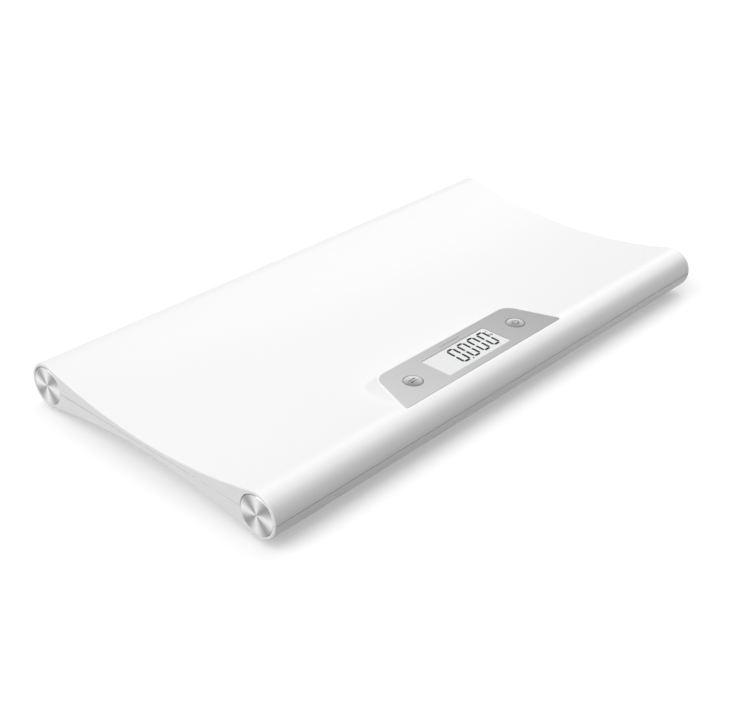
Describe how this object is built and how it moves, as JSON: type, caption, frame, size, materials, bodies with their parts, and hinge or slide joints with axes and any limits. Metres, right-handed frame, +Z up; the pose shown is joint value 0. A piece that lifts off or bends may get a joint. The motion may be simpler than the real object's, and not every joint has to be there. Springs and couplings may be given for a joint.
{
  "type": "digital baby weighing scale",
  "caption": "Long curved tray between two round tubes, with a display pod, keys, spun end discs, load cells over the feet and a hinged battery door.",
  "frame": {"origin": "on the floor under the middle of the platform, at the bottom of the foot pads", "axes": "+X along the tubes to the right, +Y to the rear, away from the display, +Z up"},
  "size_m": [0.55, 0.2874, 0.0447],
  "materials": {
    "shell_white": "smooth glossy moulded ABS",
    "spun_metal": "finely turned in circles, bright",
    "inlay_silver": "silver grey, fine satin",
    "clear_lens": "clear polished acrylic",
    "display_grey": "pale reflective liquid crystal glass",
    "white_plastic": "plain moulded",
    "elastomer": "layered conducting silicone",
    "board_green": "green solder mask over glass fibre",
    "black_resin": "black moulding resin",
    "key_pearl": "silver pearl, glossy",
    "switch_steel": "stamped cover",
    "battery_wrap": "printed sleeve over steel",
    "contact_nickel": "nickel plated spring sheet",
    "wire_red": "smooth insulation",
    "cell_aluminium": "milled and anodised",
    "zinc_steel": "zinc plated",
    "silicone_white": "potted silicone",
    "cable_grey": "smooth sheath",
    "foot_plastic": "moulded, slightly rough",
    "pad_rubber": "soft grey rubber"
  },
  "bodies": {
    "platform": {"upper_shell": "shell_white", "lower_shell": "shell_white", "end_disc_front_left": "spun_metal", "end_disc_front_right": "spun_metal", "end_disc_rear_left": "spun_metal", "end_disc_rear_right": "spun_metal", "display_inlay": "inlay_silver", "display_lens": "clear_lens", "display_glass": "display_grey", "display_reflector": "white_plastic", "display_frame": "white_plastic", "contact_strips": "elastomer", "circuit_board": "board_green", "board_chips": "black_resin", "cable_sockets": "white_plastic", "board_screws": "zinc_steel", "unit_switch": "switch_steel", "power_switch": "switch_steel", "battery_1": "battery_wrap", "battery_2": "battery_wrap", "battery_3": "battery_wrap", "battery_4": "battery_wrap", "battery_contacts": "contact_nickel", "battery_leads": "wire_red", "load_cell_front_left": "cell_aluminium", "load_cell_front_right": "cell_aluminium", "load_cell_rear_left": "cell_aluminium", "load_cell_rear_right": "cell_aluminium", "cell_spacers": "zinc_steel", "gauge_covers": "silicone_white", "cell_bolts": "zinc_steel", "cell_cable_front_left": "cable_grey", "cell_cable_front_right": "cable_grey", "cell_cable_rear_left": "cable_grey", "cell_cable_rear_right": "cable_grey", "foot_front_left": "foot_plastic", "foot_front_right": "foot_plastic", "foot_rear_left": "foot_plastic", "foot_rear_right": "foot_plastic", "foot_pad_front_left": "pad_rubber", "foot_pad_front_right": "pad_rubber", "foot_pad_rear_left": "pad_rubber", "foot_pad_rear_right": "pad_rubber", "foot_studs": "zinc_steel", "shell_screws": "zinc_steel"},
    "unit_key_body": {"unit_key": "key_pearl", "unit_plunger": "black_resin"},
    "power_key_body": {"power_key": "key_pearl", "power_plunger": "black_resin"},
    "battery_door_body": {"battery_door": "shell_white"}
  },
  "joints": [
    {"name": "unit_key_press", "type": "slide", "parent": "platform", "child": "unit_key_body", "axis": [0, 0, -1], "range_m": [0, 0.0008], "stiffness_N_per_m": 1500},
    {"name": "power_key_press", "type": "slide", "parent": "platform", "child": "power_key_body", "axis": [0, 0, -1], "range_m": [0, 0.0008], "stiffness_N_per_m": 1500},
    {"name": "battery_door_hinge", "type": "hinge", "parent": "platform", "child": "battery_door_body", "pos_m": [-0.02, -0.11578, 0.00747], "axis": [-1, 0, 0], "range_deg": [0, 75]}
  ]
}
